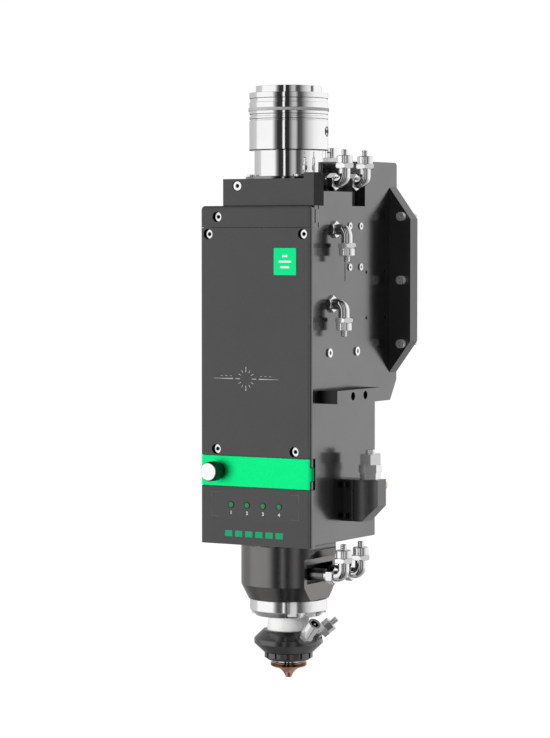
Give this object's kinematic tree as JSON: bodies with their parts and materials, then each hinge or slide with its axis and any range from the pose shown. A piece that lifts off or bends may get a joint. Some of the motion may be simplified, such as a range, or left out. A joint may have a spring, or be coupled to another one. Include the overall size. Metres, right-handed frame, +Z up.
{
  "type": "laser cutting head",
  "caption": "Upright laser cutting head: a box-shaped body with a fibre inlet collar on top, hose fittings on the right, and a round nose that tapers to a nozzle.",
  "frame": {"origin": "centre of the nozzle's mouth, on the beam axis", "axes": "+Z up along the beam axis towards the fibre, -Y towards the front covers, +X to the right of them"},
  "size_m": [0.1443, 0.1598, 0.4588],
  "materials": {
    "anodised_body": "dark satin anodised",
    "black_anodised": "black satin anodised",
    "dark_cover": "dark grey satin",
    "green_paint": "bright green satin",
    "green_badge": "green gloss",
    "label_film": "dark printed film",
    "lamp_green": "green translucent",
    "polished_chrome": "polished",
    "plated_steel": "bright plated",
    "black_steel": "black oxide",
    "clear_aluminium": "fine turned",
    "white_ceramic": "fired white ceramic",
    "copper": "turned copper",
    "brass": "turned brass",
    "optical_glass": "coated",
    "seal_rubber": "matte",
    "circuit_board": "solder mask",
    "insulator": "moulded"
  },
  "bodies": {
    "head": {"main_housing": "anodised_body", "rear_mounting_plate": "black_anodised", "mounting_screws": "plated_steel", "front_cover": "dark_cover", "top_front_plate": "dark_cover", "lower_front_panel": "dark_cover", "front_badge": "green_badge", "status_label": "label_film", "status_lamps": "lamp_green", "status_board": "circuit_board", "cover_screws": "plated_steel", "hinge_bracket": "anodised_body", "hinge_pin": "plated_steel", "focus_motor": "black_steel", "guide_rods": "polished_chrome", "limit_switches": "insulator", "control_board": "circuit_board", "board_standoffs": "brass", "collimator_barrel": "black_anodised", "collimating_lens": "optical_glass", "collimator_retainer": "black_anodised", "fibre_block": "dark_cover", "fibre_socket": "polished_chrome", "flange_screws": "plated_steel", "cable_socket": "polished_chrome", "cable_socket_insert": "insulator", "top_hose_elbows": "polished_chrome", "side_hose_elbows": "polished_chrome", "nose_hose_elbows": "polished_chrome", "hose_nuts": "polished_chrome", "gas_block": "black_anodised", "gas_plug": "brass", "gas_fitting": "polished_chrome", "gas_fitting_nut": "polished_chrome", "side_rail": "anodised_body", "rail_screws": "black_steel", "small_side_screws": "plated_steel", "side_screws": "plated_steel", "neck_ring": "polished_chrome", "lens_housing": "black_anodised", "insulating_sleeve": "white_ceramic", "sensor_body": "black_anodised", "sensor_connector": "polished_chrome", "purge_fitting": "polished_chrome", "ceramic_ring": "white_ceramic", "nozzle_seat": "brass"},
    "collar": {"fibre_collar": "polished_chrome"},
    "door": {"lens_door": "green_paint"},
    "thumbscrew": {"door_thumbscrew": "polished_chrome"},
    "drawer": {"lens_drawer": "clear_aluminium", "protective_window": "optical_glass", "window_seal": "seal_rubber", "window_retainer": "brass"},
    "carriage": {"focus_carriage": "clear_aluminium", "focus_lens": "optical_glass", "focus_retainer": "brass", "focus_screw": "plated_steel"},
    "sleeve_lock_ring": {"lock_ring": "polished_chrome"},
    "ceramic_lock_ring": {"ceramic_lock_ring": "black_anodised"},
    "nozzle": {"nozzle": "copper"}
  },
  "joints": [
    {"name": "collar_turn", "type": "hinge", "parent": "head", "child": "collar", "pos_m": [0, 0, 0.432], "axis": [0, 0, 1], "range_deg": [0, 60]},
    {"name": "door_swing", "type": "hinge", "parent": "head", "child": "door", "pos_m": [0.0459, -0.0471, 0.16345], "axis": [0, 0, 1], "range_deg": [0, 110]},
    {"name": "thumbscrew_turn", "type": "hinge", "parent": "door", "child": "thumbscrew", "pos_m": [-0.033, -0.055, 0.16345], "axis": [0, 1, 0], "continuous": true},
    {"name": "drawer_slide", "type": "slide", "parent": "head", "child": "drawer", "axis": [0, -1, 0], "range_m": [0, 0.0485]},
    {"name": "focus_slide", "type": "slide", "parent": "head", "child": "carriage", "axis": [0, 0, 1], "range_m": [-0.012, 0.012]},
    {"name": "sleeve_lock_ring_turn", "type": "hinge", "parent": "head", "child": "sleeve_lock_ring", "pos_m": [0, 0, 0.055], "axis": [0, 0, 1], "continuous": true},
    {"name": "ceramic_lock_ring_turn", "type": "hinge", "parent": "head", "child": "ceramic_lock_ring", "pos_m": [0, 0, 0.018], "axis": [0, 0, 1], "continuous": true},
    {"name": "nozzle_turn", "type": "hinge", "parent": "head", "child": "nozzle", "pos_m": [0, 0, 0.01], "axis": [0, 0, 1], "continuous": true}
  ],
  "couplings": [
    {"joint": "drawer_slide", "follows": "door_swing", "m_per_rad": 0.025}
  ]
}
